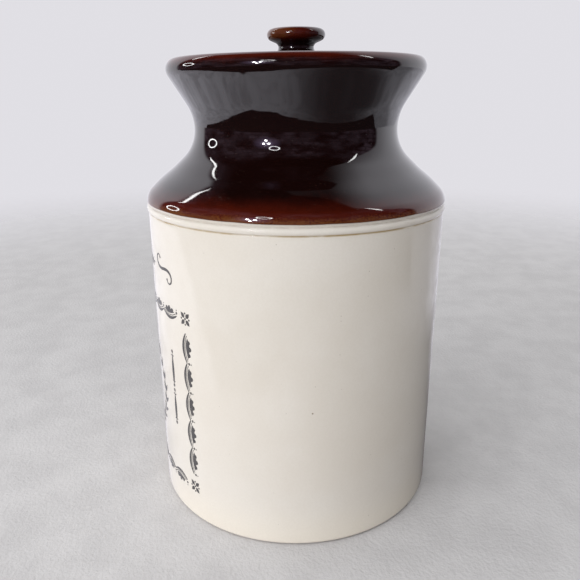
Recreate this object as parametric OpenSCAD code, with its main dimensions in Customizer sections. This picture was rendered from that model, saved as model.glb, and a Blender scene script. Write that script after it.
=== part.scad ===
// Glazed stoneware storage crock with an inset lift-off lid.
// Origin: centre of the plane that the foot ring rests on. +Z is up, and the printed panel faces -Y.

/* [Body] */
// Outer radius of the straight cylinder
body_r = 84; // [80:0.5:88]
// Wall thickness, with the glaze on both sides
wall = 7; // [6:0.5:8]
// Height of the inside floor above the resting plane
floor_z = 8; // [7:0.5:12]
// Radius of the inside corner between floor and wall
floor_round = 12; // [8:1:16]
// Radius of the bottom outside edge
foot_round = 2.5; // [1.5:0.25:3.5]
// Width of the ring that touches the table
foot_w = 11; // [8:0.5:14]
// Depth of the recess inside that ring
foot_recess = 1.8; // [1:0.2:3]

/* [Bead at the top of the cylinder] */
// Height of the middle of the bead
bead_z = 173.8; // [172:0.2:174]
// Radius of the bead's own section
bead_round = 2.2; // [1.9:0.1:2.4]
// How far the bead stands out from the cylinder
bead_proud = 0.85; // [0.5:0.05:1.2]
// Half the angle that the bead's section covers
bead_sweep = 52; // [45:1:56]

/* [Shoulder, neck and lip] */
// Height where the brown coat ends
coat_edge_z = 177.6; // [177.2:0.2:178.6]
// Height of the shoulder's widest circle
shoulder_z = 176.6; // [176:0.2:177]
// How far the shoulder stands out from the cylinder
shoulder_proud = 0.6; // [0:0.1:0.8]
// Radius that rounds the shoulder
shoulder_round = 10; // [9:0.1:11]
// How far the flank above the shoulder swings out and then in, away from straight
flank_swing = 0.25; // [0:0.05:0.4]
// Height of the waist
waist_z = 215.5; // [213:0.5:218]
// Outer radius of the waist
waist_r = 56.6; // [55:0.2:58]
// Radius of the hollow curve above the waist
waist_round_up = 24.8; // [23:0.2:27]
// Radius of the hollow curve below the waist
waist_round_down = 21.3; // [20:0.1:22.5]
// Height of the lip's crest
rim_z = 251.9; // [250.5:0.1:253]
// Greatest radius of the rolled lip
lip_r = 70.4; // [69:0.2:72]
// Radius of the lip's outer face
lip_round = 6.3; // [5.6:0.1:7]
// Radius that rounds the lip's crest and its inner edge
crest_round = 3.7; // [3.4:0.1:4]

/* [Lid seat] */
// Height of the ledge that the lid rests on
seat_z = 241.5; // [241:0.1:242]
// Inner radius of the ledge
seat_r = 57.5; // [57:0.1:58]

/* [Lid and knob] */
// Gap all round between the lid and the mouth
lid_gap = 0.7; // [0.4:0.1:1.2]
// Height of the lid's edge above the seat
lid_edge_h = 5.7; // [5:0.1:6.5]
// Radius that rounds the lid's top edge
lid_edge_round = 1.6; // [1.2:0.1:2]
// Thickness of the domed lid
lid_wall = 5.4; // [5:0.1:6]
// Height of the dome where it meets the knob
dome_z = 254.8; // [254:0.1:255.2]
// Depth of the locating ring below the seat
locator_h = 4.5; // [3:0.1:4.8]
// Width of the locating ring
locator_w = 4; // [3.5:0.1:5]
// Top of the knob
knob_top_z = 266.8; // [266.4:0.2:269]
// Greatest radius of the knob
knob_r = 15.8; // [15:0.1:17]
// Radius that rounds the knob's cap
knob_round = 3.2; // [3:0.1:3.4]
// Radius of the knob's stem
stem_r = 9.6; // [9:0.1:10.4]
// Radius of the hollow curve round the stem
stem_cove = 2.5; // [2.2:0.1:2.6]
// Radius of the knob's spigot in the lid
spigot_r = 6; // [5:0.5:7]
// Depth of the spigot's socket
spigot_h = 2.4; // [2:0.2:3]

/* [Coats] */
// Thickness of the brown coat
brown_t = 0.8; // [0.6:0.1:1]
// Thickness of the cream coat
cream_t = 0.5; // [0.4:0.1:0.6]
// Thickness of the coat inside
liner_t = 0.5; // [0.4:0.1:0.6]
// Thickness of the printed ink
ink_t = 0.15; // [0.1:0.01:0.2]

/* [Printed panel] */
// Half the angle that the panel covers round the cylinder
panel_half = 51; // [45:1:56]
// Bottom of the panel
panel_z0 = 17.6; // [14:0.2:26]
// Top of the panel
panel_z1 = 127; // [110:1:132]
// Width of a printed rule
rule_w = 1; // [0.8:0.1:1.4]
// Width of the ornamental border
border_w = 7.6; // [6:0.2:9]
// Scallops up each side of the border
scallops = 5; // [4:1:6]

/* [Hidden] */
$fn = 128;

// Points on each rounded stretch of an outline
ARC_STEPS = 12;
// Points along the flank above the shoulder
FLANK_STEPS = 12;
// Points across the lid's dome
DOME_STEPS = 24;
// Depth of the two tooled grooves beside the bead, and their distance from its middle
groove_depth = 0.4;
groove_dz = 2;
// Height over which a groove runs out
groove_run = 0.5;
// How far the cream strip above the bead stands back from the cylinder
strip_back = 0.2;
// How far round the bottom edge the cream coat reaches
foot_sweep = 50;
// Play between the locating ring and the ledge, and how much the ring narrows towards its foot
locator_play = 1.5;
locator_taper = 1;
// Share of the lid's edge, from the seat up, that is left bare
bare_edge_share = 1 / 3;
// How far a cutter reaches past what it cuts
overshoot = 1;
// Angle above level where the lip's crest passes into its outer face
crest_turn = 45;
crest_offset = (lip_round - crest_round) * [cos(crest_turn), sin(crest_turn)];
lip_c = [lip_r - lip_round, rim_z - crest_round - crest_offset[1]];
crest_c = lip_c + crest_offset;
mouth_r = crest_c[0] - crest_round;
lid_r = mouth_r - lid_gap;
locator_r = seat_r - locator_play;
spigot_z = dome_z - brown_t - spigot_h;

waist_up_c = [waist_r + waist_round_up, waist_z];
waist_down_c = [waist_r + waist_round_down, waist_z];
shoulder_c = [body_r + shoulder_proud - shoulder_round, shoulder_z];
bead_c = [body_r + bead_proud - bead_round, bead_z];
knob_c = [knob_r - knob_round, knob_top_z - knob_round];
cove_c = [stem_r + stem_cove, dome_z + stem_cove];

function arc(centre, radius, from, to) =
    [for (i = [0 : ARC_STEPS])
        centre + radius * [cos(from + (to - from) * i / ARC_STEPS), sin(from + (to - from) * i / ARC_STEPS)]];

function reversed(points) = [for (i = [len(points) - 1 : -1 : 0]) points[i]];

// Direction of the outward normal of the straight flank that joins a convex arc to a hollow one.
// turn is 1 when the hollow arc lies below the convex one and -1 when it lies above.
function flank_normal(convex_c, convex_round, hollow_c, hollow_round, turn) =
    atan2(hollow_c[1] - convex_c[1], hollow_c[0] - convex_c[0])
    + turn * acos(min(1, (convex_round + hollow_round) / norm(hollow_c - convex_c)));

flare_a = flank_normal(lip_c, lip_round, waist_up_c, waist_round_up, 1);
slope_a = flank_normal(shoulder_c, shoulder_round, waist_down_c, waist_round_down, -1);
knob_a = flank_normal(knob_c, knob_round, cove_c, stem_cove, 1);

// Swing of the flank at a share t of the way down it: in near the waist and out near the shoulder
SWING_PEAK = 0.04 * sqrt(0.2);
function swing(t) = flank_swing / SWING_PEAK * t ^ 2 * (1 - t) ^ 2 * (2 * t - 1);

// Points between the ends of the flank, set in from the outer surface.
function flank_line(inset) =
    let (normal = [cos(slope_a), sin(slope_a)],
         from = waist_down_c - (waist_round_down + inset) * normal,
         to = shoulder_c + (shoulder_round - inset) * normal)
    [for (i = [1 : FLANK_STEPS - 1])
        from + (to - from) * i / FLANK_STEPS + swing(i / FLANK_STEPS) * normal];

// Neck from the lip's flank down to the top of the shoulder, set in from the outer surface.
function neck_line(inset) = concat(
    arc(waist_up_c, waist_round_up + inset, 180 + flare_a, 180),
    arc(waist_down_c, waist_round_down + inset, 180, 180 + slope_a),
    flank_line(inset));

// Angle at which the shoulder's arc, set in, reaches the height where the brown coat ends
function coat_end_a(inset) = asin((coat_edge_z - shoulder_z) / (shoulder_round - inset));

// Outer surface under the brown coat, from the seat over the lip to the end of the coat.
function brown_line(inset) = concat(
    [[mouth_r + inset, seat_z]],
    arc(crest_c, crest_round - inset, 180, crest_turn),
    arc(lip_c, lip_round - inset, crest_turn, flare_a),
    neck_line(inset),
    arc(shoulder_c, shoulder_round - inset, slope_a, coat_end_a(inset)));

// Cream strip, bead and cylinder, from the brown edge down to the bare foot.
function cream_line(inset) = concat(
    [[body_r - strip_back - inset, coat_edge_z],
     [body_r - strip_back - inset, bead_z + groove_dz + groove_run],
     [body_r - strip_back - groove_depth - inset, bead_z + groove_dz]],
    arc(bead_c, bead_round - inset, bead_sweep, -bead_sweep),
    [[body_r - groove_depth - inset, bead_z - groove_dz],
     [body_r - inset, bead_z - groove_dz - groove_run]],
    arc([body_r - foot_round, foot_round], foot_round - inset, 0, -foot_sweep));

// Inside of the crock, from the ledge down to the middle of the floor, set out from the clear space.
function inside_line(outset) = concat(
    [[seat_r + outset, seat_z],
     [seat_r + outset, shelf_z(outset)]],
    neck_line(wall - outset),
    arc(shoulder_c, max(shoulder_round - wall + outset, 1), slope_a, 0),
    [[body_r - wall + outset, shoulder_z - shoulder_round]],
    arc([body_r - wall - floor_round, floor_z + floor_round], floor_round + outset, 0, -90),
    [[0, floor_z - outset]]);

// Height where the ledge's straight inner face meets the inside of the flare
function shelf_z(outset) =
    let (start = waist_up_c + (waist_round_up + wall - outset) * [cos(180 + flare_a), sin(180 + flare_a)])
    start[1] + (seat_r + outset - start[0]) / tan(-flare_a);

// Top of the lid: edge, dome, cove, knob cap and crown. The knob's foot stands on a flat land.
dome_rim_r = lid_r - lid_edge_round;
dome_rim_z = seat_z + lid_edge_h;
dome_rise = dome_z - dome_rim_z;
dome_sphere_r = (dome_rim_r ^ 2 - cove_c[0] ^ 2 + dome_rise ^ 2) / (2 * dome_rise);
land_z = dome_z - brown_t;
bare_edge_z = seat_z + lid_edge_h * bare_edge_share;
function dome_height(r, inset) =
    dome_z - dome_sphere_r + sqrt((dome_sphere_r - inset) ^ 2 - r ^ 2 + cove_c[0] ^ 2);

function lid_edge_line(inset) = concat(
    [[lid_r - inset, bare_edge_z]],
    arc([lid_r - lid_edge_round, dome_rim_z - lid_edge_round], lid_edge_round - inset, 0, 90));

function dome_line(inset) =
    [for (i = [1 : DOME_STEPS - 1])
        let (r = dome_rim_r + (cove_c[0] - dome_rim_r) * i / DOME_STEPS)
        [r, dome_height(r, inset)]];

function knob_line(inset) = concat(
    arc(cove_c, stem_cove + inset, 270, 180 + knob_a),
    arc(knob_c, knob_round - inset, knob_a, 90),
    [[0, knob_top_z - inset]]);

module revolve(points) {
    rotate_extrude() polygon(points);
}

// The space between an outer and an inner outline with matching ends.
module coat(outer, inner) {
    revolve(concat(outer, reversed(inner)));
}

module crock_body() {
    color([0.80, 0.72, 0.60])
        revolve(concat(
            [[0, foot_recess],
             [body_r - foot_round - foot_w, foot_recess],
             [body_r - foot_round - foot_w, 0],
             [body_r - foot_round, 0]],
            reversed(cream_line(cream_t)),
            reversed(brown_line(brown_t)),
            inside_line(liner_t)));
}

module cream_glaze() {
    color([0.87, 0.84, 0.79])
        coat(cream_line(0), cream_line(cream_t));
}

module neck_glaze() {
    color([0.13, 0.04, 0.03])
        coat(brown_line(0), brown_line(brown_t));
}

module liner_glaze() {
    color([0.22, 0.09, 0.05])
        coat(inside_line(0), inside_line(liner_t));
}

// Skin of ink on the cylinder, where a flat shape pushed out along the direction of angle meets it.
// Angles run from -Y, the middle of the panel.
module ink(angle) {
    intersection() {
        translate([0, 0, panel_z0])
            difference() {
                cylinder(r = body_r + ink_t, h = panel_z1 - panel_z0);
                translate([0, 0, -overshoot])
                    cylinder(r = body_r, h = panel_z1 - panel_z0 + 2 * overshoot);
            }
        rotate([90, 0, angle])
            linear_extrude(body_r + wall)
                children();
    }
}

// Angle on the cylinder that the border takes up, and the spacing of its scallops
border_a = border_w / body_r * 180 / PI;
scallop_pitch = (panel_z1 - panel_z0 - 2 * border_w) / scallops;
// Radius of a scallop, and the radius and place of the disc that cuts it to a crescent
scallop_r = border_w * 0.4;
bite_r = scallop_r * 0.8;
bite_x = scallop_r / 2;
// Half the width of the panel inside its side borders, seen from the front
inner_x = body_r * sin(panel_half - border_a);

module rules() {
    difference() {
        translate([-inner_x, panel_z0])
            square([2 * inner_x, panel_z1 - panel_z0]);
        translate([-inner_x + rule_w, panel_z0 + rule_w])
            square([2 * (inner_x - rule_w), panel_z1 - panel_z0 - 2 * rule_w]);
    }
}

// A crescent that bulges towards the middle of the panel and opens to its side.
module scallop(side) {
    difference() {
        circle(scallop_r);
        translate([side * bite_x, 0])
            circle(bite_r);
    }
}

module panel_print() {
    color([0.23, 0.22, 0.22]) {
        ink(0)
            rules();
        for (side = [-1, 1], i = [0 : scallops - 1])
            ink(side * (panel_half - border_a / 2))
                translate([0, panel_z0 + border_w + (i + 0.5) * scallop_pitch])
                    scallop(side);
    }
}

module lid_disc() {
    color([0.80, 0.72, 0.60])
        revolve(concat(
            [[0, spigot_z],
             [spigot_r, spigot_z],
             [spigot_r, land_z],
             [cove_c[0], land_z]],
            reversed(dome_line(brown_t)),
            reversed(lid_edge_line(brown_t)),
            [[lid_r, bare_edge_z],
             [lid_r, seat_z],
             [locator_r, seat_z],
             [locator_r - locator_taper, seat_z - locator_h],
             [locator_r - locator_w, seat_z - locator_h]],
            [for (i = [0 : DOME_STEPS])
                let (r = (locator_r - locator_w) * (1 - i / DOME_STEPS))
                [r, dome_height(r, lid_wall)]]));
}

module lid_knob() {
    color([0.80, 0.72, 0.60])
        revolve(concat(
            [[0, spigot_z],
             [spigot_r, spigot_z],
             [spigot_r, land_z]],
            knob_line(brown_t)));
}

module lid_glaze() {
    color([0.16, 0.05, 0.03])
        coat(concat(lid_edge_line(0), dome_line(0), knob_line(0)),
             concat(lid_edge_line(brown_t), dome_line(brown_t), knob_line(brown_t)));
}

crock_body();
cream_glaze();
neck_glaze();
liner_glaze();
panel_print();
lid_disc();
lid_knob();
lid_glaze();
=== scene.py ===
"""Looks of a glazed stoneware storage crock with a lift-off lid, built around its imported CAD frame.

Each piece is the revolved outline of its CAD node with the corners softened, then pulled a little
out of true, as a hand-finished pot is. Lengths are metres. The printed panel faces -Y.
"""

import math

import bmesh
import bpy
import numpy as np
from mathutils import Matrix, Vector
from mathutils.geometry import delaunay_2d_cdt

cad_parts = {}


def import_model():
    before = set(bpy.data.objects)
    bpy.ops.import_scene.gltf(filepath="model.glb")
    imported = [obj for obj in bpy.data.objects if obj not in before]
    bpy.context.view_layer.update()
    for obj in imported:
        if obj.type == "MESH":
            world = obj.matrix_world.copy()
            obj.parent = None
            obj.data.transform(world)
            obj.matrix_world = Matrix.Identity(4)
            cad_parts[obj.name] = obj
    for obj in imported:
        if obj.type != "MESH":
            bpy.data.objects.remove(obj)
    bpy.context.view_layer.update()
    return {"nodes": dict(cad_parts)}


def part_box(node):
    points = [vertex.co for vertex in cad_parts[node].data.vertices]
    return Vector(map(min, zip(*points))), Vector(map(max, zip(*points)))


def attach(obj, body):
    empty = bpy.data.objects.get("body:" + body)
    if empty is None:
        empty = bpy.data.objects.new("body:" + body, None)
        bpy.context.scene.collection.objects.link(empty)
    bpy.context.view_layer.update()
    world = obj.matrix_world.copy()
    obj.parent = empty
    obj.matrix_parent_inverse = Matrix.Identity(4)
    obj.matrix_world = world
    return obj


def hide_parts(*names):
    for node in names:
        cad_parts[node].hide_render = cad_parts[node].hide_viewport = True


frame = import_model()

MM = 0.001

# Heights and radii that the looks refer to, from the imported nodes
RIM_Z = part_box("neck_glaze")[1].z
BROWN_END_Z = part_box("neck_glaze")[0].z
TOP_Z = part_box("lid_glaze")[1].z
KNOB_BASE_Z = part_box("lid_disc")[1].z
KNOB_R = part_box("lid_knob")[1].x
LID_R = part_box("lid_glaze")[1].x
PANEL_Z0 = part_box("panel_print")[0].z
PANEL_Z1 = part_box("panel_print")[1].z
BODY_R = min(math.hypot(v.co.x, v.co.y) for v in frame["nodes"]["panel_print"].data.vertices)
PANEL_HALF = math.asin(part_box("panel_print")[1].x / -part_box("panel_print")[0].y)

# Meshing: how finely outlines are sampled, how widely they are smoothed, and which points are kept
SEGMENTS = 192
SAMPLE = 0.1 * MM
MERGE = 0.02 * MM
CORNER_TURN = math.radians(35)
CORNER_SOFT = 0.3 * MM
CORNER_SHARE = 0.35
FACET_SHARE = 0.6
LONGEST_SOFT = 2.4 * MM
SOFT_SLOPE = 0.35
KERNEL_REACH = 3
KEEP_TURN = math.radians(3)
KEEP_LENGTH = 3 * MM

# How far the fired pot is out of true
LEAN = math.radians(0.62)
WOBBLE = 0.25 * MM
# Each wave round the pot: its share of the wobble, its count, its phase and its twist per metre up
WOBBLE_WAVES = ((0.5, 2, 0.7, 9), (0.3, 3, -1.1, -14), (0.2, 5, 2.2, 25))
EDGE_WAVE = 0.4 * MM
EDGE_WAVE_REACH = 8 * MM
# Each wave along the brown coat's lower edge: its share, its count and its phase
EDGE_WAVES = ((0.22, 5, 1), (0.16, 11, 2.6), (0.12, 23, 0))


def smooth(t):
    """0 below 0, 1 above 1, and an even ease between them."""
    t = np.clip(t, 0, 1)
    return t * t * (3 - 2 * t)


# ---------------------------------------------------------------- outlines

def outline_of(node):
    """The (radius, height) outline of a CAD node of revolution, and whether it is a closed loop."""
    mesh = frame["nodes"][node].data
    co = np.array([v.co for v in mesh.vertices], float)
    points = np.column_stack((np.hypot(co[:, 0], co[:, 1]), co[:, 2]))
    keys = [tuple(key) for key in np.round(points / MERGE).astype(int)]
    rings = []
    ring_of = {}
    for key, point in zip(keys, points):
        if key not in ring_of:
            near = [k for k, known in enumerate(rings) if np.abs(known - point).max() < MERGE]
            ring_of[key] = near[0] if near else len(rings)
            if not near:
                rings.append(point)
    index = [ring_of[key] for key in keys]
    links = {k: set() for k in range(len(rings))}
    for edge in mesh.edges:
        a, b = (index[v] for v in edge.vertices)
        if a != b:
            links[a].add(b)
            links[b].add(a)
    ends = [k for k, linked in links.items() if len(linked) == 1]
    path = [ends[0] if ends else 0]
    while True:
        ahead = [k for k in links[path[-1]] if k not in path]
        if not ahead:
            break
        here = rings[path[-1]]
        path.append(min(ahead, key=lambda k: np.linalg.norm(rings[k] - here)))
    line = np.array([rings[k] for k in path])
    if ends:
        line = np.vstack(([0, line[0, 1]], line, [0, line[-1, 1]]))
        line = line[np.append(True, np.linalg.norm(np.diff(line, axis=0), axis=1) > MERGE)]
    return line, not ends


def softness(lengths, heading, closed):
    """How widely the outline is smoothed at each point: barely at a corner, more between facets."""
    before = np.roll(lengths, 1) if closed else np.append(lengths[0], lengths)
    after = lengths if closed else np.append(lengths, lengths[-1])
    shorter = np.minimum(before, after)
    turn = np.abs(np.angle(np.exp(1j * (heading - np.roll(heading, 1)))))
    if not closed:
        turn = np.concatenate(([0], turn[1:], [0]))
    corner = np.minimum(CORNER_SOFT, CORNER_SHARE * shorter)
    soft = np.where(turn > CORNER_TURN, corner, FACET_SHARE * shorter)
    return np.minimum(soft, LONGEST_SOFT)


def thinned(line):
    """The points of a finely sampled line that its bends need."""
    steps = np.diff(line, axis=0)
    turns = np.abs(np.diff(np.unwrap(np.arctan2(steps[:, 1], steps[:, 0]))))
    kept = [0]
    turned = gone = 0.0
    for i, turn in enumerate(turns, 1):
        turned += turn
        gone += SAMPLE
        if turned > KEEP_TURN or gone > KEEP_LENGTH:
            kept.append(i)
            turned = gone = 0.0
    kept.append(len(line) - 1)
    return line[kept]


def soften(line, closed):
    """The outline with its facets smoothed away and its corners eased, thinned to what it needs."""
    loop = np.vstack((line, line[:1])) if closed else line
    steps = np.diff(loop, axis=0)
    lengths = np.linalg.norm(steps, axis=1)
    at = np.append(0, np.cumsum(lengths))
    soft = softness(lengths, np.unwrap(np.arctan2(steps[:, 1], steps[:, 0])), closed)
    away = np.abs(at[: len(line), None] - at[None, : len(line)])
    if closed:
        away = np.minimum(away, at[-1] - away)
    soft = (soft[None] + SOFT_SLOPE * away).min(axis=1)
    if closed:
        soft = np.append(soft, soft[0])

    count = int(at[-1] / SAMPLE)
    s = np.linspace(0, at[-1], count, endpoint=not closed)
    dense = np.column_stack([np.interp(s, at, loop[:, k]) for k in (0, 1)])
    sigma = np.interp(s, at, soft)
    reach = int(KERNEL_REACH * LONGEST_SOFT / SAMPLE)
    if closed:
        wide = np.vstack((dense[-reach:], dense, dense[:reach]))
    else:
        mirror = np.array([-1, 1])
        wide = np.vstack((dense[reach:0:-1] * mirror, dense, dense[-2:-reach - 2:-1] * mirror))
    total = np.zeros(count)
    eased = np.zeros((count, 2))
    for k in range(-reach, reach + 1):
        weight = np.exp(-0.5 * (k * SAMPLE / sigma) ** 2)
        total += weight
        eased += weight[:, None] * wide[reach + k: reach + k + count]
    return thinned(eased / total[:, None])


def warp(co):
    """The unevenness of the fired pot, as a move that every piece goes through."""
    x, y, z = co.T
    angle = np.arctan2(y, x)
    sway = sum(share * np.cos(waves * angle + phase + twist * z)
               for share, waves, phase, twist in WOBBLE_WAVES)
    grow = 1 + WOBBLE / BODY_R * sway
    lean = math.tan(LEAN) * smooth((z - BROWN_END_Z) / (RIM_Z - BROWN_END_Z))
    return np.column_stack((x * grow, y * grow, z + lean * y))


def edge_wave(co):
    """Lets the lower edge of the brown coat run down unevenly over the cream."""
    angle = np.arctan2(co[:, 1], co[:, 0])
    wave = 0.5 + sum(share * np.sin(waves * angle + phase) for share, waves, phase in EDGE_WAVES)
    near = 1 - smooth((co[:, 2] - BROWN_END_Z) / EDGE_WAVE_REACH)
    moved = co.copy()
    moved[:, 2] -= EDGE_WAVE * wave * near
    return moved


# ---------------------------------------------------------------- pieces

def add_mesh(name, co, faces, marks=None):
    """A smooth-shaded object from points and faces, with a float attribute for each mark."""
    mesh = bpy.data.meshes.new(name)
    mesh.from_pydata([tuple(p) for p in co], [], faces)
    bm = bmesh.new()
    bm.from_mesh(mesh)
    bmesh.ops.recalc_face_normals(bm, faces=bm.faces)
    bm.to_mesh(mesh)
    bm.free()
    mesh.shade_smooth()
    for mark, values in (marks or {}).items():
        mesh.attributes.new(mark, "FLOAT", "POINT").data.foreach_set("value", values.astype(np.float32))
    obj = bpy.data.objects.new(name, mesh)
    bpy.context.scene.collection.objects.link(obj)
    return obj


def revolve(line, closed):
    """Points and faces of an outline turned round the Z axis. Open outlines end on the axis."""
    turn = np.exp(2j * np.pi * np.arange(SEGMENTS) / SEGMENTS)
    rings = line if closed else line[1:-1]
    radius = rings[:, 0][:, None] * turn[None]
    height = np.broadcast_to(rings[:, 1][:, None], radius.shape)
    co = np.column_stack((radius.real.ravel(), radius.imag.ravel(), height.ravel()))
    faces = []
    last = len(rings) if closed else len(rings) - 1
    for i in range(last):
        a, b = i * SEGMENTS, (i + 1) % len(rings) * SEGMENTS
        for j in range(SEGMENTS):
            k = (j + 1) % SEGMENTS
            faces.append((a + j, a + k, b + k, b + j))
    if not closed:
        poles = len(co)
        co = np.vstack((co, [0, 0, line[0, 1]], [0, 0, line[-1, 1]]))
        top = (len(rings) - 1) * SEGMENTS
        for j in range(SEGMENTS):
            k = (j + 1) % SEGMENTS
            faces.append((k, j, poles))
            faces.append((top + j, top + k, poles + 1))
    return co, faces


def turned_piece(name, node, body, material, marks=None, move=None):
    """A piece that stands for a CAD node of revolution."""
    line, closed = outline_of(node)
    co, faces = revolve(soften(line, closed), closed)
    values = marks(co) if marks else {}
    if move:
        co = move(co)
    obj = add_mesh(name, warp(co), faces, values)
    obj.data.materials.append(material)
    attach(obj, body)
    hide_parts(node)


# ---------------------------------------------------------------- flat shapes for the print
# A flat shape is an array of complex numbers, across + up * 1j, in millimetres.

def disc(centre, radius, sides=18):
    return centre + radius * np.exp(2j * np.pi * np.arange(sides) / sides)


def leaf(base, tip, width, steps=9):
    """A pointed leaf, fullest a little nearer its base."""
    t = np.linspace(0, 1, steps)
    half = 0.5j * width * (tip - base) / abs(tip - base) * np.sin(np.pi * t ** 0.8)
    spine = base + (tip - base) * t
    return np.concatenate((spine + half, (spine - half)[-2:0:-1]))


def stroke(points, width):
    """The four-sided pieces of a line whose width may change along it."""
    points = np.asarray(points)
    width = np.broadcast_to(width, points.shape)
    along = np.gradient(points)
    side = 0.5j * width * along / np.abs(along)
    left, right = points + side, points - side
    return [np.array([right[i], right[i + 1], left[i + 1], left[i]]) for i in range(len(points) - 1)]


def ring(centre, across, up, width, steps=72):
    turn = np.linspace(0, 2 * np.pi, steps + 1)
    return stroke(centre + across * np.cos(turn) + 1j * up * np.sin(turn), width)


def placed(shapes, at, angle=0.0, flip=False):
    turn = np.exp(1j * angle)
    return [(shape.conj() if flip else shape) * turn + at for shape in shapes]


def mirrored(shapes):
    return [-shape.conj() for shape in shapes]


def scallop(pitch):
    """One unit of the border, along the real axis, with the panel's inside below it."""
    t = np.linspace(-1, 1, 15)
    bow = pitch / 2 * t + 1j * (0.8 + 2.6 * t ** 2)
    thin = pitch / 2 * 0.86 * t + 1j * (2.3 + 1.9 * t ** 2)
    shapes = stroke(bow, 0.6 + 1.1 * (1 - t ** 2)) + stroke(thin, 0.45)
    shapes.append(leaf(-0.35 * pitch + 4.6j, 0.35 * pitch + 4.6j, 3.0))
    shapes += [disc(lobe * pitch / 2 + (6.0 - 1.4 * abs(lobe)) * 1j, 1.4 - 0.5 * abs(lobe))
               for lobe in (-0.42, 0.0, 0.42)]
    shapes.append(disc(pitch / 2 + 5.0j, 0.75))
    shapes.append(disc(pitch / 2 + 6.6j, 0.4, 12))
    return shapes


def floret(radius):
    """A four-petalled corner ornament."""
    shapes = [disc(0, 0.16 * radius)]
    for quarter in range(4):
        turn = 1j ** quarter
        diagonal = turn * np.exp(0.25j * np.pi)
        shapes.append(leaf(0.22 * radius * diagonal, 1.25 * radius * diagonal, 0.62 * radius))
        shapes.append(disc(0.82 * radius * turn, 0.15 * radius))
    return shapes


def scroll(length, width, curl=4.6):
    """An S with a spiral at each end: its bend grows evenly from the middle."""
    s = np.linspace(-1, 1, 61)
    step = np.exp(1j * curl * s ** 2) * length / 60
    line = np.cumsum(step)
    return stroke(line - line[30], width * (1 - 0.72 * s ** 2)) + [
        disc(line[0] - line[30], 0.45 * width, 12), disc(line[-1] - line[30], 0.45 * width, 12)]


def spray(count, length, size):
    """A straight stem along the real axis with pairs of leaves."""
    shapes = stroke(np.linspace(0, length, 8) + 0j, np.linspace(0.7, 0.3, 8))
    for i in range(count):
        at = length * (i + 0.5) / count
        grown = size * (1 - 0.5 * i / count)
        for side in (-1, 1):
            shapes.append(leaf(at, at + grown * np.exp(0.7j * side), 0.36 * grown))
    shapes.append(leaf(length, length + size * 0.6, 0.24 * size))
    return shapes


def wreath(across, up, leaves):
    """Leaves round an oval, meeting at its top and foot."""
    shapes = ring(0, across, up, 0.45)
    for i in range(leaves):
        turn = -np.pi / 2 + np.pi * (i + 0.6) / leaves
        at = across * np.cos(turn) + 1j * up * np.sin(turn)
        along = -across * np.sin(turn) + 1j * up * np.cos(turn)
        along /= abs(along)
        for side in (-1, 1):
            blade = [leaf(at, at + 6.4 * along * np.exp(0.6j * side), 2.3)]
            shapes += blade + mirrored(blade)
    return shapes


def rosette(radius, petals=8):
    shapes = ring(0, 0.2 * radius, 0.2 * radius, 0.5, 24) + [disc(0, 0.1 * radius)]
    for i in range(petals):
        turn = np.exp(2j * np.pi * i / petals)
        shapes.append(leaf(0.3 * radius * turn, radius * turn, 0.34 * radius))
        half = turn * np.exp(1j * np.pi / petals)
        shapes.append(disc(0.92 * radius * half, 0.06 * radius, 12))
    return shapes


def rod(height):
    """A thin upright rule with a bud at each end."""
    shapes = [leaf(-0.5j * height, 0.5j * height, 2.5)]
    shapes += [disc(end * 0.5j * height, 1.0, 14) for end in (-1, 1)]
    for end in (-1, 1):
        at = end * 0.38j * height
        shapes += stroke([at - 1.6, at + 1.6], 0.5)
    return shapes


def filled(shapes):
    """Points and faces that cover flat shapes, with their overlaps merged."""
    facing = [np.sum((shape.conj() * np.roll(shape, -1)).imag) for shape in shapes]
    shapes = [shape if area > 0 else shape[::-1] for shape, area in zip(shapes, facing)]
    points = [Vector((p.real, p.imag)) for shape in shapes for p in shape]
    starts = np.cumsum([0] + [len(shape) for shape in shapes])
    loops = [list(range(a, b)) for a, b in zip(starts, starts[1:])]
    inside_only, same_point = 1, 1e-5
    co, _, faces, _, _, source = delaunay_2d_cdt(points, [], loops, inside_only, same_point, True)
    return [complex(*p) for p in co], [f for f, made_by in zip(faces, source) if made_by]


# The panel's layout, in millimetres
BORDER_W = 7.6
SIDE_UNITS = 5
TOP_UNITS = 8
END_GAPS = 0.5
ROD_LENGTH = 20.5
ROD_ABOVE_MIDDLE = (17.5, -6)
WREATH_BELOW_MIDDLE = 4
FLOURISH_ABOVE_PANEL = 19

# The print as a skin: cuts that let it bend round the cylinder, in millimetres, then its two depths
LATTICE = 2.5
LATTICE_SPANS = ((-90, 90), (0, 170))
ON_A_CUT = 1e-4
SLIVER = 1e-3
PRINT_PROUD = 0.05 * MM
PRINT_SUNK = 0.12 * MM


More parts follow.
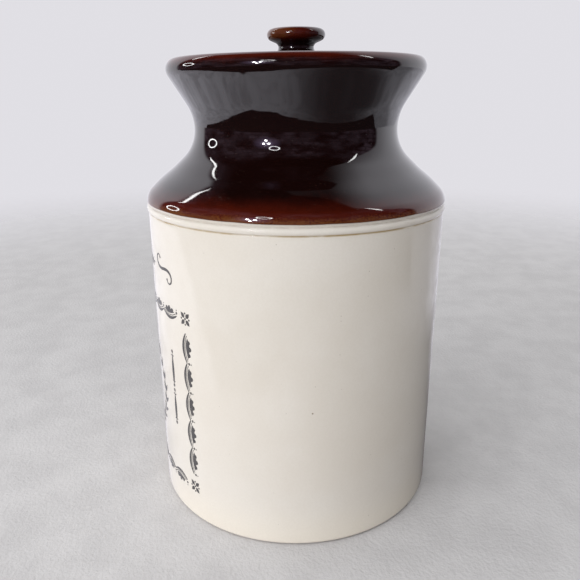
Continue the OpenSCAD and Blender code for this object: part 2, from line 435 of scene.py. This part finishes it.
def panel_shapes():
    """The whole printed design as groups of flat shapes, about the panel's upright centre line."""
    half = PANEL_HALF * BODY_R / MM
    low, high = PANEL_Z0 / MM, PANEL_Z1 / MM
    middle = (low + high) / 2
    inner = half - BORDER_W
    corner = BORDER_W / 2
    groups = []
    side_pitch = (high - low - 2 * BORDER_W) / (SIDE_UNITS + END_GAPS)
    for i in range(SIDE_UNITS):
        up = middle + (i + 0.5 - SIDE_UNITS / 2) * side_pitch
        unit = placed(scallop(side_pitch), inner + 1j * up, -np.pi / 2)
        groups += [unit, mirrored(unit)]
    top_pitch = 2 * inner / (TOP_UNITS + END_GAPS)
    for i in range(TOP_UNITS):
        across = (i + 0.5 - TOP_UNITS / 2) * top_pitch
        groups.append(placed(scallop(top_pitch), across + 1j * (high - BORDER_W)))
        groups.append(placed(scallop(top_pitch), across + 1j * (low + BORDER_W), flip=True))
    for up in (low + corner, high - corner):
        unit = placed(floret(corner), half - corner + 1j * up)
        groups += [unit, mirrored(unit)]
    for above in ROD_ABOVE_MIDDLE:
        unit = placed(rod(ROD_LENGTH), 0.82 * inner + 1j * (middle + above))
        groups += [unit, mirrored(unit)]
    wreath_at = 1j * (middle - WREATH_BELOW_MIDDLE)
    groups += [placed(wreath(38, 29, 13), wreath_at), placed(rosette(15), wreath_at)]
    flourish_at = 1j * (high + FLOURISH_ABOVE_PANEL)
    flourish = placed(scroll(36, 1.7), 50 + flourish_at, 0.1, flip=True)
    garland = placed(spray(6, 26, 6.5), 5 + flourish_at)
    groups += [flourish, mirrored(flourish), garland, mirrored(garland)]
    groups.append(placed(rosette(4.6, 6), flourish_at))
    return groups


def flat_panel():
    """The design as a flat mesh cut by the lattice: its points in metres, faces and border edges."""
    bm = bmesh.new()
    for group in panel_shapes():
        points, faces = filled(group)
        verts = [bm.verts.new((p.real, p.imag, 0)) for p in points]
        for face in faces:
            bm.faces.new([verts[i] for i in face])
    for normal, (low, high) in zip(((1, 0, 0), (0, 1, 0)), LATTICE_SPANS):
        for cut in np.arange(low, high, LATTICE):
            geom = bm.verts[:] + bm.edges[:] + bm.faces[:]
            at = Vector(normal) * cut
            bmesh.ops.bisect_plane(bm, geom=geom, dist=ON_A_CUT, plane_co=at, plane_no=normal)
    bmesh.ops.dissolve_degenerate(bm, dist=SLIVER, edges=bm.edges)
    loose = [v for v in bm.verts if not v.link_faces]
    bmesh.ops.delete(bm, geom=loose, context="VERTS")
    bm.verts.index_update()
    flat = np.array([v.co[:2] for v in bm.verts]) * MM
    faces = [[v.index for v in f.verts] for f in bm.faces]
    border = [(e.link_loops[0].vert.index, e.link_loops[0].link_loop_next.vert.index)
              for e in bm.edges if len(e.link_loops) == 1]
    bm.free()
    return flat, faces, border


def printed_panel(material):
    """The fired print: a skin on the cylinder, a little proud of the glaze."""
    flat, faces, border = flat_panel()
    count = len(flat)
    angle = flat[:, 0] / BODY_R - np.pi / 2
    layers = [np.column_stack((radius * np.cos(angle), radius * np.sin(angle), flat[:, 1]))
              for radius in (BODY_R + PRINT_PROUD, BODY_R - PRINT_SUNK)]
    solid = faces + [[i + count for i in reversed(f)] for f in faces]
    solid += [[b, a, a + count, b + count] for a, b in border]
    obj = add_mesh("printed_panel", warp(np.vstack(layers)), solid)
    obj.data.shade_flat()
    obj.data.materials.append(material)
    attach(obj, "crock")
    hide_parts("panel_print")


# ---------------------------------------------------------------- materials

class Nodes:
    """A short way to write a node tree: node() adds a node, and the others return an output."""

    def __init__(self, tree):
        self.tree = tree
        tree.nodes.clear()

    def node(self, kind, inputs=None, **settings):
        made = self.tree.nodes.new("ShaderNode" + kind)
        for key, value in settings.items():
            setattr(made, key, value)
        for key, value in (inputs or {}).items():
            if isinstance(value, bpy.types.NodeSocket):
                self.tree.links.new(value, made.inputs[key])
            else:
                made.inputs[key].default_value = value
        return made

    def noise(self, scale, detail=2.0, rough=0.5, where=None, distortion=0.0):
        """Noise from 0 to 1 with scale features to the metre."""
        where = where or self.node("TexCoord").outputs["Object"]
        inputs = {"Vector": where, "Scale": scale, "Detail": detail, "Roughness": rough,
                  "Distortion": distortion}
        return self.node("TexNoise", inputs).outputs["Fac"]

    def specks(self, scale, size, share):
        """1 inside small round specks that sit in a share of the cells, 0 elsewhere."""
        where = self.node("TexCoord").outputs["Object"]
        cell = self.node("TexVoronoi", {"Vector": where, "Scale": scale})
        picked = self.node("SeparateColor", {"Color": cell.outputs["Color"]}).outputs["Red"]
        dot = self.ramp(cell.outputs["Distance"], size * 1.3, size * 0.6)
        return self.product(self.math("LESS_THAN", picked, share), dot)

    def math(self, operation, a, b=0.0):
        return self.node("Math", {0: a, 1: b}, operation=operation).outputs[0]

    def total(self, first, *others):
        for other in others:
            first = self.math("ADD", first, other)
        return first

    def product(self, first, *others):
        for other in others:
            first = self.math("MULTIPLY", first, other)
        return first

    def inverse(self, value):
        return self.math("SUBTRACT", 1.0, value)

    def ramp(self, value, low, high, to_low=0.0, to_high=1.0):
        """Smoothly takes value from low..high to to_low..to_high."""
        inputs = {"Value": value, "From Min": low, "From Max": high,
                  "To Min": to_low, "To Max": to_high}
        return self.node("MapRange", inputs, interpolation_type="SMOOTHSTEP").outputs["Result"]

    def turn_ramp(self, angle, low, high, to_low=0.0, to_high=1.0):
        """A ramp over an angle, with its ends in degrees."""
        return self.ramp(angle, math.radians(low), math.radians(high), to_low, to_high)

    def facing(self, toward, azimuth, rise):
        """The cosine of the angle between a direction and the one at an azimuth and rise."""
        inputs = {0: toward, 1: direction(azimuth, rise)}
        return self.node("VectorMath", inputs, operation="DOT_PRODUCT").outputs["Value"]

    def mix(self, factor, a, b, blend="MIX"):
        made = self.node("Mix", data_type="RGBA", blend_type=blend)
        for socket, value in ((made.inputs[0], factor), (made.inputs[6], a), (made.inputs[7], b)):
            if isinstance(value, bpy.types.NodeSocket):
                self.tree.links.new(value, socket)
            else:
                socket.default_value = value if isinstance(value, float) else (*value, 1.0)
        return made.outputs[2]

    def mark(self, name):
        """The value of a mark that the piece's mesh carries."""
        return self.node("Attribute", attribute_name=name).outputs["Fac"]

    def bump(self, height, distance, below=None):
        """A normal for a height of 0 to 1 that stands for a distance in metres, over another normal."""
        inputs = {"Height": height, "Distance": distance, "Strength": 1.0}
        if below:
            inputs["Normal"] = below
        return self.node("Bump", inputs).outputs["Normal"]


def shaded(name):
    """A new material, and the nodes to fill it with."""
    material = bpy.data.materials.new(name)
    material.use_nodes = True
    return material, Nodes(material.node_tree)


def surface(name, build):
    """A material whose Principled inputs build(nodes) returns."""
    material, nodes = shaded(name)
    shader = nodes.node("BsdfPrincipled", build(nodes))
    nodes.node("OutputMaterial", {"Surface": shader.outputs[0]})
    return material


GLAZE_BLACK = (0.0062, 0.0016, 0.0013)
GLAZE_RED = (0.060, 0.0065, 0.0025)
GLAZE_AMBER = (0.125, 0.042, 0.011)


def brown_glaze(nodes):
    """Iron glaze: near black where it lies thick, red-brown and then amber where it has run thin. On
    the knob's cap the thin mark also holds painted light on the side of the key light.
    """
    drift = nodes.ramp(nodes.noise(45, 3, 0.55), 0.3, 0.7, -0.10, 0.10)
    streak = nodes.ramp(nodes.noise(300, 2, 0.5), 0.3, 0.7, -0.04, 0.04)
    # The thin mark holds real runs of the glaze, and on the knob also a painted lighter side towards
    # the key light.
    thin = nodes.total(nodes.mark("thin"), drift, streak)
    colour = nodes.mix(nodes.ramp(thin, 0.05, 0.95), GLAZE_BLACK, GLAZE_RED)
    grit = nodes.ramp(nodes.noise(1500, 3, 0.7), 0.3, 0.7, -0.25, 0.25)
    thinnest = nodes.total(thin, nodes.product(nodes.mark("edge"), grit))
    colour = nodes.mix(nodes.ramp(thinnest, 1.0, 1.55), colour, GLAZE_AMBER)
    pits = nodes.specks(900, 0.16, 0.06)
    colour = nodes.mix(nodes.product(pits, 0.35), colour, (0.12, 0.06, 0.03))
    smears = nodes.ramp(nodes.noise(55, 5, 0.65, distortion=0.6), 0.5, 0.75, 0.045, 0.12)
    waves = nodes.bump(nodes.noise(62, 1.5, 0.4), 0.07 * MM)
    peel = nodes.bump(nodes.noise(700, 2, 0.5), 0.0035 * MM, waves)
    pitted = nodes.bump(nodes.inverse(pits), 0.04 * MM, peel)
    return {"Base Color": colour, "Roughness": smears, "IOR": 1.75, "Normal": pitted}


def cream_glaze(nodes):
    """Pale clear-coated body with iron specks, faint mottling and a gold stain in the tooled groove,
    plus painted shade in the groove above the bead and painted bounce light at the foot.
    """
    drift = nodes.ramp(nodes.noise(16, 4, 0.6), 0.3, 0.7)
    colour = nodes.mix(drift, (0.735, 0.690, 0.630), (0.775, 0.738, 0.688))
    # Painted bounce light from the floor: lighter and warmer towards the foot.
    colour = nodes.mix(nodes.product(nodes.mark("foot"), 0.6), colour, (0.86, 0.80, 0.70))
    mottle = nodes.ramp(nodes.noise(900, 3, 0.6), 0.35, 0.65, 0.0, 0.06)
    colour = nodes.mix(mottle, colour, (0.52, 0.46, 0.38))
    fine = nodes.specks(420, 0.10, 0.035)
    large = nodes.specks(120, 0.055, 0.03)
    specks = nodes.math("MAXIMUM", nodes.product(fine, 0.45), nodes.product(large, 0.75))
    colour = nodes.mix(specks, colour, (0.16, 0.10, 0.06))
    patchy = nodes.ramp(nodes.noise(60, 3, 0.6), 0.30, 0.60, 0.15, 1)
    stain = nodes.product(nodes.mark("stain"), patchy, 0.9)
    colour = nodes.mix(stain, colour, (0.40, 0.27, 0.09))
    # Painted shade: a patchy dark line in the groove above the bead.
    groove_shade_patches = nodes.ramp(nodes.noise(120, 3, 0.6), 0.25, 0.7, 0.35, 1)
    colour = nodes.mix(nodes.product(nodes.mark("painted_groove_shade"), groove_shade_patches, 0.3), colour, (0.30, 0.24, 0.18))
    rough = nodes.ramp(nodes.noise(45, 5, 0.65), 0.3, 0.75, 0.07, 0.14)
    waves = nodes.bump(nodes.noise(45, 2, 0.5), 0.10 * MM)
    skin = nodes.bump(nodes.noise(1100, 2, 0.5), 0.006 * MM, waves)
    pitted = nodes.bump(nodes.inverse(specks), 0.03 * MM, skin)
    return {"Base Color": colour, "Roughness": rough, "IOR": 1.52, "Normal": pitted}


def liner_glaze(nodes):
    """The slip that lines the inside: even brown, a little duller than the neck."""
    drift = nodes.ramp(nodes.noise(40, 4, 0.6), 0.3, 0.7)
    colour = nodes.mix(drift, (0.040, 0.012, 0.007), (0.085, 0.028, 0.013))
    pits = nodes.specks(500, 0.14, 0.08)
    colour = nodes.mix(nodes.product(pits, 0.6), colour, (0.20, 0.11, 0.06))
    rough = nodes.ramp(nodes.noise(60, 4, 0.6), 0.3, 0.7, 0.12, 0.26)
    waves = nodes.bump(nodes.noise(90, 2, 0.5), 0.12 * MM)
    pitted = nodes.bump(nodes.inverse(pits), 0.05 * MM, waves)
    return {"Base Color": colour, "Roughness": rough, "IOR": 1.6, "Normal": pitted}


def bare_clay(nodes):
    """Unglazed fired stoneware: sandy buff with grog, open pores and handling marks."""
    drift = nodes.ramp(nodes.noise(30, 5, 0.6), 0.3, 0.7)
    colour = nodes.mix(drift, (0.44, 0.33, 0.22), (0.62, 0.50, 0.37))
    grog = nodes.specks(1300, 0.26, 0.22)
    colour = nodes.mix(nodes.product(grog, 0.45), colour, (0.80, 0.72, 0.60))
    iron = nodes.specks(520, 0.13, 0.10)
    colour = nodes.mix(nodes.product(iron, 0.8), colour, (0.14, 0.07, 0.035))
    smudge = nodes.ramp(nodes.noise(85, 6, 0.7), 0.52, 0.75, 0.0, 0.4)
    colour = nodes.mix(smudge, colour, (0.26, 0.19, 0.13))
    grain = nodes.bump(nodes.noise(1500, 4, 0.65), 0.06 * MM)
    pores = nodes.bump(nodes.inverse(nodes.specks(700, 0.2, 0.25)), 0.10 * MM, grain)
    return {"Base Color": colour, "Roughness": nodes.ramp(drift, 0, 1, 0.78, 0.92), "Normal": pores}


def fired_ink(nodes):
    """Dark grey ceramic ink, slightly broken where the print did not take."""
    drift = nodes.ramp(nodes.noise(60, 3, 0.6), 0.3, 0.7)
    colour = nodes.mix(drift, (0.038, 0.035, 0.034), (0.075, 0.070, 0.067))
    missed = nodes.ramp(nodes.noise(1600, 4, 0.7), 0.60, 0.74, 0.0, 0.45)
    colour = nodes.mix(missed, colour, (0.40, 0.37, 0.33))
    rough = nodes.ramp(nodes.noise(220, 3, 0.6), 0.3, 0.7, 0.20, 0.34)
    skin = nodes.bump(nodes.noise(1400, 3, 0.6), 0.008 * MM)
    return {"Base Color": colour, "Roughness": rough, "IOR": 1.5, "Normal": skin}


# ---------------------------------------------------------------- marks that the materials read

def bell(value, centre, width):
    return np.exp(-0.5 * ((value - centre) / width) ** 2)


def fading(height, reach):
    """1 at no height, easing to 0 at reach."""
    return 1 - smooth(height / reach)


def neck_marks(co):
    """Where the brown coat has run thin: at the lip's crest and towards its lower edge."""
    z = co[:, 2]
    above = z - BROWN_END_Z
    lip_face = 0.18 * bell(z, RIM_Z - 3 * MM, 2 * MM)
    crest = 1.05 * bell(z, RIM_Z, 1.7 * MM)
    skirt = 0.92 * fading(above, 15 * MM) + 0.5 * fading(above, 5.5 * MM)
    return {"thin": lip_face + crest + skirt, "edge": fading(above, 12 * MM)}


def lid_marks(co):
    """Thin on the knob's cap and at the lid's edge, and painted lighter on the cap's -Y side, towards
    the key light.
    """
    radius, z = np.hypot(co[:, 0], co[:, 1]), co[:, 2]
    # Painted light: the cap runs redder towards -Y, the side of the key light, as if the glaze were
    # thinner there.
    side = smooth(0.75 - 0.6 * co[:, 1] / KNOB_R)
    cap = (0.25 + side) * smooth((z - KNOB_BASE_Z - 4 * MM) / (4 * MM))
    edge = 0.6 * fading(LID_R - radius, 2 * MM)
    return {"thin": cap + edge}


def cream_marks(co):
    """A stain in the tooled groove below the bead, painted shade in the groove above it, and a lighter,
    warmer band at the foot that is painted bounce light from the floor.
    """
    radius, z = np.hypot(co[:, 0], co[:, 1]), co[:, 2]
    bead_z = z[np.argmax(radius)]
    groove = 2 * MM
    outside = radius > BODY_R - 2.5 * MM
    stain = bell(z, bead_z - groove, 0.35 * MM) * outside
    # Painted shade along the groove above the bead.
    painted_groove_shade = bell(z, bead_z + groove, 0.45 * MM) * outside
    # The foot mark is painted bounce light from the floor.
    return {"stain": stain, "painted_groove_shade": painted_groove_shade, "foot": fading(z, 30 * MM)}


# ---------------------------------------------------------------- build

clay = surface("stoneware", bare_clay)
brown = surface("brown_glaze", brown_glaze)
turned_piece("crock", "crock_body", "crock", clay)
turned_piece("cream_coat", "cream_glaze", "crock", surface("cream_glaze", cream_glaze),
             cream_marks)
turned_piece("neck_coat", "neck_glaze", "crock", brown, neck_marks, edge_wave)
turned_piece("inside_coat", "liner_glaze", "crock", surface("liner_glaze", liner_glaze))
printed_panel(surface("fired_ink", fired_ink))
turned_piece("lid", "lid_disc", "lid", clay)
turned_piece("knob", "lid_knob", "lid", clay)
turned_piece("lid_coat", "lid_glaze", "lid", brown, lid_marks)


# ---------------------------------------------------------------- stage

# The camera looks from azimuth 0, so bearings of -180..0 degrees are on its left
FLOOR_HALF = 1.6
FLOOR_FADE = (0.45, 1.3)
CLOTH_REACH = 0.25

# Places in the sky, as an azimuth from +X towards +Y and a rise, in degrees
KEY_AT = (-39, 18)
FILL_AT = (190, 30)
BULBS_AT = (-32, 18)


def direction(azimuth, rise):
    """Unit vector at an azimuth from +X towards +Y and a height above the horizon, in degrees."""
    turn, up = math.radians(azimuth), math.radians(rise)
    return Vector((math.cos(turn) * math.cos(up), math.sin(turn) * math.cos(up), math.sin(up)))


def table_top(nodes, place, axes, rays):
    """Mottled and slightly rough. What it bounces back is brighter on the side of the key light."""
    grain = nodes.bump(nodes.noise(420, 3, 0.6, place), 0.6 * MM)
    mottled = nodes.ramp(nodes.noise(30, 3, 0.6, place), 0.3, 0.7)
    seen = nodes.mix(mottled, (0.60, 0.59, 0.60), (0.66, 0.65, 0.66))
    bounced = nodes.mix(nodes.ramp(axes[1], -0.10, 0.15), (0.92, 0.89, 0.86), (0.35, 0.33, 0.32))
    colour = nodes.mix(rays["Is Diffuse Ray"], seen, bounced)
    return nodes.node("BsdfDiffuse", {"Color": colour, "Normal": grain}).outputs[0]


def cloth_reach(nodes, place, bearing):
    """How far the mirrored cloth reaches from the crock's axis at each bearing."""
    right = nodes.turn_ramp(bearing, -30, 50, 0, 0.33)
    right_front = nodes.turn_ramp(bearing, 55, 92, 0, -0.10)
    behind = nodes.turn_ramp(bearing, 90, 100, 0, 3.0)
    left = nodes.turn_ramp(bearing, -50, -160, 0, 1.55)
    past_wall = nodes.turn_ramp(bearing, -112, -123, 0, 3)
    ripple = nodes.ramp(nodes.noise(9, 2, 0.5, place), 0.3, 0.7, -0.015, 0.015)
    return nodes.total(right, left, behind, right_front, past_wall, ripple, CLOTH_REACH)


def mirrored_cloth(nodes, place, axes, away):
    """The colour that glossy surfaces see: a folded cloth in the key light, dark beyond its edge."""
    bearing = nodes.math("ARCTAN2", axes[1], axes[0])
    past_edge = nodes.math("SUBTRACT", cloth_reach(nodes, place, bearing), away)
    on_cloth = nodes.ramp(past_edge, -0.006, 0.006)
    # Painted shade of the cloth's folds.
    painted_fold_shade = nodes.ramp(nodes.noise(11, 3, 0.6, place, 1.5), 0.35, 0.65, 0.7, 1.0)
    near_key = nodes.ramp(axes[1], 0.15, -0.45, 0.72, 1.5)
    by_wall = nodes.turn_ramp(bearing, 100, 125, 0, 1.2)
    strength = nodes.math("MAXIMUM", near_key, by_wall)
    bright = nodes.node("VectorMath", {0: (0.78, 0.77, 0.85), "Scale": strength}, operation="SCALE")

    shadow = nodes.turn_ramp(bearing, -18, 40, 0, 0.86)
    aside = nodes.product(nodes.turn_ramp(bearing, 55, 100), nodes.ramp(away, 0.26, 0.42))
    out_of_shadow = nodes.math("MAXIMUM", nodes.turn_ramp(bearing, 118, 145, 0, 0.8), aside)
    dark = nodes.product(shadow, nodes.inverse(out_of_shadow))
    lit = nodes.product(on_cloth, painted_fold_shade, nodes.inverse(dark))
    return nodes.mix(lit, (0.035, 0.028, 0.032), bright.outputs[0])


def floor():
    """A pale table that fades into the backdrop, and in its place for glossy surfaces a glowing cloth
    with its light and shadow painted in.
    """
    co = np.array([[x, y, 0.0] for x, y in ((-1, -1), (1, -1), (1, 1), (-1, 1))]) * FLOOR_HALF
    obj = add_mesh("floor", co, [(0, 1, 2, 3)])
    material, nodes = shaded("floor")
    place = nodes.node("NewGeometry").outputs["Position"]
    axes = nodes.node("SeparateXYZ", {0: place}).outputs
    away = nodes.node("VectorMath", {0: place}, operation="LENGTH").outputs["Value"]
    rays = nodes.node("LightPath").outputs
    table = table_top(nodes, place, axes, rays)
    cloth = nodes.node("Emission", {"Color": mirrored_cloth(nodes, place, axes, away)}).outputs[0]
    solid = nodes.node("MixShader", {0: rays["Is Glossy Ray"], 1: table, 2: cloth}).outputs[0]
    clear = nodes.node("BsdfTransparent").outputs[0]
    fade = nodes.product(nodes.ramp(away, *FLOOR_FADE), rays["Is Camera Ray"])
    shader = nodes.node("MixShader", {0: fade, 1: solid, 2: clear}).outputs[0]
    nodes.node("OutputMaterial", {"Surface": shader})
    obj.data.materials.append(material)


def mirrored_walls(nodes, azimuth, rise):
    """Where glossy surfaces see a bright wall. There is one on each side, with a leaning inner edge."""
    left_lean = nodes.turn_ramp(rise, 35, 55, 0, math.radians(9))
    left = nodes.turn_ramp(nodes.total(azimuth, left_lean), -118, -124)
    right_lean = nodes.turn_ramp(rise, 15, 48, 0, math.radians(17))
    right = nodes.turn_ramp(nodes.total(azimuth, right_lean), 95, 100)
    right = nodes.product(right, nodes.turn_ramp(azimuth, 78, 122, 0.42, 1))
    return nodes.product(nodes.math("MAXIMUM", left, right), nodes.turn_ramp(rise, 76, 52, 0.05, 1))


def mirrored_room(nodes, toward, azimuth, rise):
    """A dim room with shelves, darker overhead, and a glow round the bulbs."""
    dim = nodes.ramp(nodes.noise(3.2, 3, 0.6, toward), 0.35, 0.65)
    room = nodes.mix(dim, (0.040, 0.022, 0.032), (0.260, 0.190, 0.250))
    plan = nodes.node("CombineXYZ", {0: azimuth, 1: rise}).outputs[0]
    shelves = nodes.node("TexBrick", {
        "Vector": plan, "Scale": 1.0, "Brick Width": 0.21, "Row Height": 0.13, "Mortar Size": 0.018,
        "Color1": (0.02, 0.02, 0.02, 1), "Color2": (1, 1, 1, 1), "Mortar": (0.2, 0.2, 0.2, 1),
    }, offset=0.37)
    room = nodes.mix(0.65, room, shelves.outputs["Color"], "MULTIPLY")
    near_bulbs = nodes.facing(toward, *BULBS_AT)
    for reach, glow in ((17, (0.40, 0.30, 0.52)), (8, (1.0, 0.9, 1.3))):
        halo = nodes.ramp(near_bulbs, math.cos(math.radians(reach)), 1)
        room = nodes.mix(halo, room, glow, "ADD")
    return nodes.mix(nodes.turn_ramp(rise, 40, 62, 1, 0.03), (0.0, 0.0, 0.0), room)


def matt_light(nodes, toward):
    """The wide soft light on matt surfaces: a key on the camera's left and a weaker fill behind."""
    slope = nodes.product(nodes.facing(toward, *KEY_AT), 0.95)
    key = nodes.math("MAXIMUM", nodes.total(slope, 0.42), 0.02)
    fill = nodes.ramp(nodes.facing(toward, *FILL_AT), 0.3, 1, 0, 0.6)
    soft = nodes.total(key, fill)
    return nodes.node("CombineColor", {0: soft, 1: soft, 2: soft}).outputs[0]


def world():
    """Pale to the camera, soft light to matt surfaces, and a dim room with lit walls to glossy ones."""
    made = bpy.data.worlds.new("studio")
    bpy.context.scene.world = made
    made.use_nodes = True
    nodes = Nodes(made.node_tree)
    toward = nodes.node("TexCoord").outputs["Generated"]
    axes = nodes.node("SeparateXYZ", {0: toward}).outputs
    azimuth = nodes.math("ARCTAN2", axes[1], axes[0])
    rise = nodes.math("ARCSINE", axes[2])
    wall = mirrored_walls(nodes, azimuth, rise)
    mirrored = nodes.mix(wall, mirrored_room(nodes, toward, azimuth, rise), (0.97, 0.96, 1.03))
    rays = nodes.node("LightPath").outputs
    light = nodes.mix(rays["Is Glossy Ray"], matt_light(nodes, toward), mirrored)
    light = nodes.mix(rays["Is Camera Ray"], light, (0.75, 0.74, 0.78))
    back = nodes.node("Background", {"Color": light, "Strength": 1.0}).outputs[0]
    nodes.node("OutputWorld", {"Surface": back})


LAMP_DISTANCE = 5
# Each lamp: its name, its azimuth and rise, its outline in degrees about its middle, and its strength
LAMPS = (
    ("ring_lamp", -104, 12.3, ring(0, 7, 6, 1.2, 48), 14),
    ("small_ring_lamp", -24, 29.5, ring(0, 5, 4.5, 1.0, 48), 15),
    ("bulbs", *BULBS_AT, [disc(at, 1.3) for at in (-2.8, 2.8, -7.5j)], 120),
    ("left_strip", -118.5, 40, [leaf(3.2 - 9.5j, -2.8 + 9.5j, 2.2)], 9),
    ("right_strip", 78.5, 46, [leaf(-1.5 - 10.5j, 1.5 + 10.5j, 2.4)], 9),
)


def lamp(name, azimuth, rise, outline, strength):
    """A glowing flat shape, seen only as the first reflection in a glossy surface."""
    away = direction(azimuth, rise)
    across = Vector((-away.y, away.x, 0)).normalized()
    up = away.cross(across)
    scale = LAMP_DISTANCE * math.radians(1)
    middle = Vector((0, 0, RIM_Z)) + away * LAMP_DISTANCE
    points, faces = filled(outline)
    co = [middle + across * (p.real * scale) + up * (p.imag * scale) for p in points]
    obj = add_mesh(name, co, faces)
    material, nodes = shaded(name)
    direct = nodes.math("LESS_THAN", nodes.node("LightPath").outputs["Ray Depth"], 1.5)
    glow = nodes.node("Emission", {"Strength": nodes.product(direct, strength)})
    nodes.node("OutputMaterial", {"Surface": glow.outputs[0]})
    obj.data.materials.append(material)
    obj.visible_camera = False
    obj.visible_diffuse = False
    obj.visible_shadow = False


def soft_light(name, azimuth, rise, distance, size, watts):
    """A square area light aimed at the crock's middle, unseen by the camera and glossy surfaces."""
    data = bpy.data.lights.new(name, "AREA")
    data.shape = "SQUARE"
    data.size = size
    data.energy = watts
    obj = bpy.data.objects.new(name, data)
    obj.location = Vector((0, 0, 0.5 * TOP_Z)) + direction(azimuth, rise) * distance
    obj.rotation_euler = (-direction(azimuth, rise)).to_track_quat("-Z", "Y").to_euler()
    obj.visible_camera = False
    obj.visible_glossy = False
    bpy.context.scene.collection.objects.link(obj)


CAMERA_AT = (0.3525, 0.0, 0.2351)
CAMERA_PITCH = 18.28
LENS = 37.46
SENSOR = 36
SHIFT_X = -0.0105
NEAREST_SEEN = 0.01


def camera():
    """Looks along -X and a little down, from about the height of the lid's seat."""
    data = bpy.data.cameras.new("camera")
    data.sensor_width = SENSOR
    data.lens = LENS
    data.shift_x = SHIFT_X
    data.clip_start = NEAREST_SEEN
    obj = bpy.data.objects.new("camera", data)
    obj.location = CAMERA_AT
    obj.rotation_euler = (math.radians(90 - CAMERA_PITCH), 0, math.radians(90))
    bpy.context.scene.collection.objects.link(obj)
    bpy.context.scene.camera = obj


floor()
world()
soft_light("window", azimuth=-50, rise=30, distance=1.5, size=0.8, watts=5)
for settings in LAMPS:
    lamp(*settings)
camera()
bpy.context.scene.view_settings.view_transform = "Standard"
